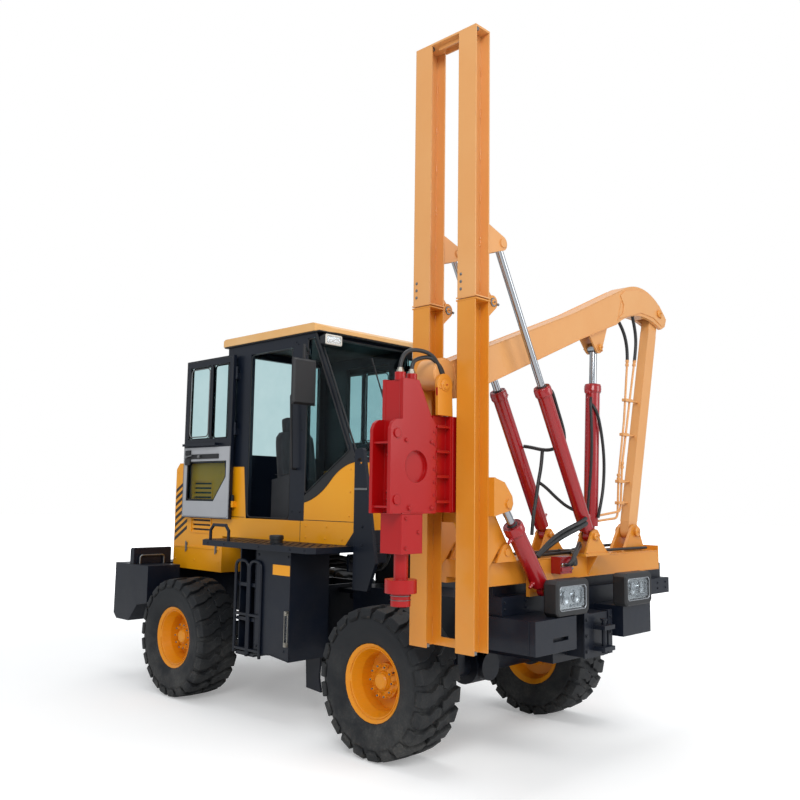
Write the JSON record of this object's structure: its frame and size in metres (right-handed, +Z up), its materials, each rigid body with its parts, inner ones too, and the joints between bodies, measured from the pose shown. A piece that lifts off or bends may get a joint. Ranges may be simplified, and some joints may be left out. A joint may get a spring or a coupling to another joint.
{
  "type": "pile driver rig",
  "caption": "Articulated four-wheel pile driver rig: enclosed cab, folding twin-column mast on its right side, drop carriage with vibratory hammer, boom and side-shift deck.",
  "frame": {"origin": "centre of the bounding box on the ground", "axes": "+X is the driving direction, +Y the left side of the machine, +Z up"},
  "size_m": [5.11, 3.607, 5.045],
  "materials": {
    "frame_navy": "satin dark navy chassis paint",
    "body_yellow": "semi-gloss yellow body paint",
    "arm_orange": "semi-gloss orange-yellow paint on arm, deck and mast",
    "cylinder_red": "gloss red paint",
    "rim_orange": "semi-gloss orange-yellow wheel paint",
    "rod_chrome": "hard-chromed, polished",
    "tyre_black": "black moulded rubber",
    "glass_teal": "tinted blue-green glazing",
    "trim_black": "black textured plastic",
    "seat_black": "black woven seat cloth",
    "door_grey": "pale grey door paint",
    "hammer_red": "semi-gloss red paint",
    "lamp_body": "dark lamp housing"
  },
  "bodies": {
    "rear_chassis": {"rear_frame": "frame_navy", "rear_axle": "frame_navy", "counterweight": "frame_navy", "rear_fenders": "frame_navy", "engine_block": "frame_navy", "hood": "body_yellow", "radiator_guard": "trim_black", "side_platforms": "frame_navy", "guard_posts": "frame_navy", "grab_rails": "frame_navy", "cab_frame": "frame_navy", "cab_skirt": "body_yellow", "cab_roof": "body_yellow", "cab_glass": "glass_teal", "seat": "seat_black", "controls": "trim_black", "mirrors": "trim_black", "work_lamps": "lamp_body"},
    "front_chassis": {"front_frame": "frame_navy", "front_axle": "frame_navy", "headlights": "lamp_body", "slide_base": "frame_navy"},
    "deck_body": {"deck": "arm_orange", "valve_block": "cylinder_red"},
    "mast_body": {"mast_lower": "arm_orange"},
    "mast_top": {"mast_upper": "arm_orange"},
    "hammer_body": {"carriage": "hammer_red", "hammer": "hammer_red"},
    "post_body": {"post": "arm_orange"},
    "boom_body": {"boom": "arm_orange"},
    "lift_barrel_body": {"lift_barrel": "cylinder_red"},
    "lift_rod_body": {"lift_rod": "rod_chrome"},
    "fold_barrel_body": {"fold_barrels": "cylinder_red"},
    "fold_rod_body": {"fold_rods": "rod_chrome"},
    "tilt_barrel_body": {"tilt_barrel": "cylinder_red"},
    "tilt_rod_body": {"tilt_rod": "rod_chrome"},
    "right_door": {"door_right": "frame_navy", "door_right_glass": "glass_teal"},
    "left_door": {"door_left": "frame_navy", "door_left_glass": "glass_teal"},
    "wheel_front_right": {"tyre_front_right": "tyre_black", "rim_front_right": "rim_orange"},
    "wheel_front_left": {"tyre_front_left": "tyre_black", "rim_front_left": "rim_orange"},
    "wheel_rear_right": {"tyre_rear_right": "tyre_black", "rim_rear_right": "rim_orange"},
    "wheel_rear_left": {"tyre_rear_left": "tyre_black", "rim_rear_left": "rim_orange"}
  },
  "joints": [
    {"name": "articulation", "type": "hinge", "parent": "rear_chassis", "child": "front_chassis", "pos_m": [-0.015, 0.0685, 0.74], "axis": [0, 0, 1], "range_deg": [-30, 30]},
    {"name": "side_shift", "type": "slide", "parent": "front_chassis", "child": "deck_body", "axis": [0, 1, 0], "range_m": [-0.15, 0.18]},
    {"name": "mast_tilt", "type": "hinge", "parent": "deck_body", "child": "mast_body", "pos_m": [2.098, -0.8315, 1.51], "axis": [1, 0, 0], "range_deg": [-3, 3]},
    {"name": "mast_fold", "type": "hinge", "parent": "mast_body", "child": "mast_top", "pos_m": [2.098, -1.0065, 3.17], "axis": [1, 0, 0], "range_deg": [-75, 0]},
    {"name": "hammer_slide", "type": "slide", "parent": "mast_body", "child": "hammer_body", "axis": [0, 0, 1], "range_m": [-0.5, 1.2]},
    {"name": "post_swing", "type": "hinge", "parent": "deck_body", "child": "post_body", "pos_m": [2.098, 1.1765, 1.6], "axis": [1, 0, 0], "range_deg": [-7.05, 3.05]},
    {"name": "boom_lift", "type": "hinge", "parent": "post_body", "child": "boom_body", "pos_m": [2.098, 1.6435, 3.55], "axis": [1, 0, 0], "range_deg": [-17.25, 7.31]},
    {"name": "lift_barrel_swing", "type": "hinge", "parent": "deck_body", "child": "lift_barrel_body", "pos_m": [2.098, 0.5835, 1.58], "axis": [1, 0, 0], "range_deg": [-3.03, 1.38]},
    {"name": "lift_rod_slide", "type": "slide", "parent": "lift_barrel_body", "child": "lift_rod_body", "axis": [0, 0.049, 0.9988], "range_m": [-0.1578, 0.3745]},
    {"name": "fold_barrel_swing", "type": "hinge", "parent": "deck_body", "child": "fold_barrel_body", "pos_m": [2.098, 0.2285, 1.59], "axis": [1, 0, 0], "range_deg": [-5.33, 0.2]},
    {"name": "fold_rod_slide", "type": "slide", "parent": "fold_barrel_body", "child": "fold_rod_body", "axis": [0, -0.4901, 0.8717], "range_m": [-0.5324, 0.003]},
    {"name": "tilt_barrel_swing", "type": "hinge", "parent": "deck_body", "child": "tilt_barrel_body", "pos_m": [2.365, -0.4735, 1.24], "axis": [1, 0, 0], "range_deg": [-1.36, 1.36]},
    {"name": "tilt_rod_slide", "type": "slide", "parent": "tilt_barrel_body", "child": "tilt_rod_body", "axis": [0, -0.6115, 0.7912], "range_m": [-0.0072, 0.0072]},
    {"name": "spin_front_right", "type": "hinge", "parent": "front_chassis", "child": "wheel_front_right", "pos_m": [1.305, -0.8965, 0.5375], "axis": [0, 1, 0], "continuous": true},
    {"name": "spin_front_left", "type": "hinge", "parent": "front_chassis", "child": "wheel_front_left", "pos_m": [1.305, 1.0335, 0.5375], "axis": [0, 1, 0], "continuous": true},
    {"name": "spin_rear_right", "type": "hinge", "parent": "rear_chassis", "child": "wheel_rear_right", "pos_m": [-1.345, -0.8965, 0.5375], "axis": [0, 1, 0], "continuous": true},
    {"name": "spin_rear_left", "type": "hinge", "parent": "rear_chassis", "child": "wheel_rear_left", "pos_m": [-1.345, 1.0335, 0.5375], "axis": [0, 1, 0], "continuous": true},
    {"name": "door_right_hinge", "type": "hinge", "parent": "rear_chassis", "child": "right_door", "pos_m": [-1.12, -0.6165, 2.42], "axis": [0, 0, 1], "range_deg": [0, 180]},
    {"name": "door_left_hinge", "type": "hinge", "parent": "rear_chassis", "child": "left_door", "pos_m": [-1.12, 0.7535, 2.42], "axis": [0, 0, 1], "range_deg": [0, 170]}
  ],
  "couplings": [
    {"joint": "post_swing", "follows": "hammer_slide", "rad_per_m": -0.09964},
    {"joint": "boom_lift", "follows": "hammer_slide", "rad_per_m": -0.24803},
    {"joint": "lift_barrel_swing", "follows": "hammer_slide", "rad_per_m": -0.0412},
    {"joint": "lift_rod_slide", "follows": "hammer_slide", "ratio": 0.30961},
    {"joint": "fold_barrel_swing", "follows": "mast_fold", "ratio": 0.06838},
    {"joint": "fold_rod_slide", "follows": "mast_fold", "m_per_rad": 0.40446},
    {"joint": "tilt_barrel_swing", "follows": "mast_tilt", "ratio": 0.4199},
    {"joint": "tilt_rod_slide", "follows": "mast_tilt", "m_per_rad": 0.1181}
  ]
}
